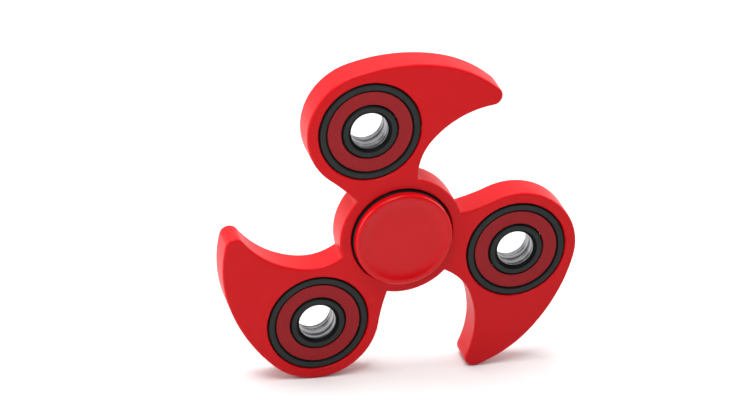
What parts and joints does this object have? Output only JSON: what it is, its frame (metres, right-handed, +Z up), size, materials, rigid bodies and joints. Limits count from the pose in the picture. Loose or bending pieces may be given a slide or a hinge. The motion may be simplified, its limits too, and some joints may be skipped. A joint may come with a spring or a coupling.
{
  "type": "fidget spinner",
  "caption": "Hand spinner with curved blade-shaped arms, a ball bearing in each arm as a weight, and a hub bearing pinched between two dished thumb caps.",
  "frame": {"origin": "centre of the hub, midway between the two faces of the frame", "axes": "+Y along the spin axis from the front cap to the rear cap, so the front faces -Y; +Z up as the spinner stands on one lobe and one blade tip; +X to the right seen from the front"},
  "size_m": [0.0778, 0.0114, 0.0728],
  "materials": {
    "red_plastic": "satin moulded plastic",
    "black_steel": "semi-gloss black coating",
    "seal_rubber": "matte moulded rubber",
    "ball_steel": "polished",
    "cage_nylon": "moulded nylon"
  },
  "bodies": {
    "frame": {"body": "red_plastic", "hub_outer_ring": "black_steel", "hub_front_seal": "seal_rubber", "hub_rear_seal": "seal_rubber", "top_outer_ring": "black_steel", "top_front_seal": "seal_rubber", "top_rear_seal": "seal_rubber", "right_outer_ring": "black_steel", "right_front_seal": "seal_rubber", "right_rear_seal": "seal_rubber", "left_outer_ring": "black_steel", "left_front_seal": "seal_rubber", "left_rear_seal": "seal_rubber"},
    "hub": {"front_cap": "red_plastic", "rear_cap": "red_plastic", "hub_inner_ring": "black_steel"},
    "hub_ball_set": {"hub_cage": "cage_nylon", "hub_balls": "ball_steel"},
    "top_ring": {"top_inner_ring": "black_steel"},
    "top_ball_set": {"top_cage": "cage_nylon", "top_balls": "ball_steel"},
    "right_ring": {"right_inner_ring": "black_steel"},
    "right_ball_set": {"right_cage": "cage_nylon", "right_balls": "ball_steel"},
    "left_ring": {"left_inner_ring": "black_steel"},
    "left_ball_set": {"left_cage": "cage_nylon", "left_balls": "ball_steel"}
  },
  "joints": [
    {"name": "hub_spin", "type": "hinge", "parent": "frame", "child": "hub", "pos_m": [0, 0, 0], "axis": [0, 1, 0], "continuous": true},
    {"name": "hub_ball_set_spin", "type": "hinge", "parent": "frame", "child": "hub_ball_set", "pos_m": [0, 0, 0], "axis": [0, 1, 0], "continuous": true},
    {"name": "top_ring_spin", "type": "hinge", "parent": "frame", "child": "top_ring", "pos_m": [-0.00842, 0, 0.02481], "axis": [0, 1, 0], "continuous": true},
    {"name": "top_ball_set_spin", "type": "hinge", "parent": "frame", "child": "top_ball_set", "pos_m": [-0.00842, 0, 0.02481], "axis": [0, 1, 0], "continuous": true},
    {"name": "right_ring_spin", "type": "hinge", "parent": "frame", "child": "right_ring", "pos_m": [0.0257, 0, -0.00511], "axis": [0, 1, 0], "continuous": true},
    {"name": "right_ball_set_spin", "type": "hinge", "parent": "frame", "child": "right_ball_set", "pos_m": [0.0257, 0, -0.00511], "axis": [0, 1, 0], "continuous": true},
    {"name": "left_ring_spin", "type": "hinge", "parent": "frame", "child": "left_ring", "pos_m": [-0.01727, 0, -0.0197], "axis": [0, 1, 0], "continuous": true},
    {"name": "left_ball_set_spin", "type": "hinge", "parent": "frame", "child": "left_ball_set", "pos_m": [-0.01727, 0, -0.0197], "axis": [0, 1, 0], "continuous": true}
  ],
  "couplings": [
    {"joint": "hub_ball_set_spin", "follows": "hub_spin", "ratio": 0.368},
    {"joint": "top_ball_set_spin", "follows": "top_ring_spin", "ratio": 0.368},
    {"joint": "right_ball_set_spin", "follows": "right_ring_spin", "ratio": 0.368},
    {"joint": "left_ball_set_spin", "follows": "left_ring_spin", "ratio": 0.368}
  ]
}
